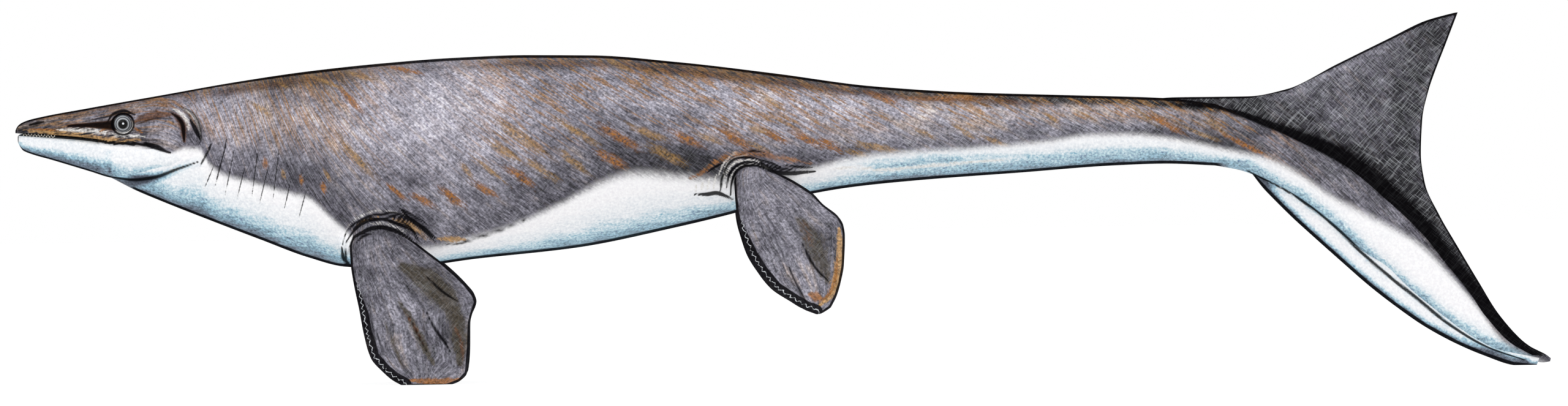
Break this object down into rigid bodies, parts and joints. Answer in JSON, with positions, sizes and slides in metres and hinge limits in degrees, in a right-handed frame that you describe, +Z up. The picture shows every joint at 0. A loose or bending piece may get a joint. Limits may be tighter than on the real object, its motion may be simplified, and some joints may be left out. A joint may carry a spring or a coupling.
{
  "type": "mosasaur life restoration",
  "caption": "Mosasaur in the flesh with closed jaws, deep trunk, paddle flippers and a finned tail bent down, resting unheld on its fore flippers and tail tip.",
  "frame": {"origin": "on the ground, under the middle of the animal's box", "axes": "snout towards -X, tail towards +X, the animal's left side towards -Y, +Z up"},
  "size_m": [5.5874, 1.2212, 1.2913],
  "materials": {
    "slate_skin": "moist smooth scaled skin, slate above and white below",
    "pale_skin": "moist smooth pale skin",
    "flipper_skin": "moist smooth dark skin",
    "eye": "wet and glossy"
  },
  "bodies": {
    "root": {"body": "slate_skin", "lower_jaw": "pale_skin", "fore_flipper_left": "flipper_skin", "fore_flipper_right": "flipper_skin", "hind_flipper_left": "flipper_skin", "hind_flipper_right": "flipper_skin", "eye_left": "eye", "eye_right": "eye"}
  },
  "joints": []
}
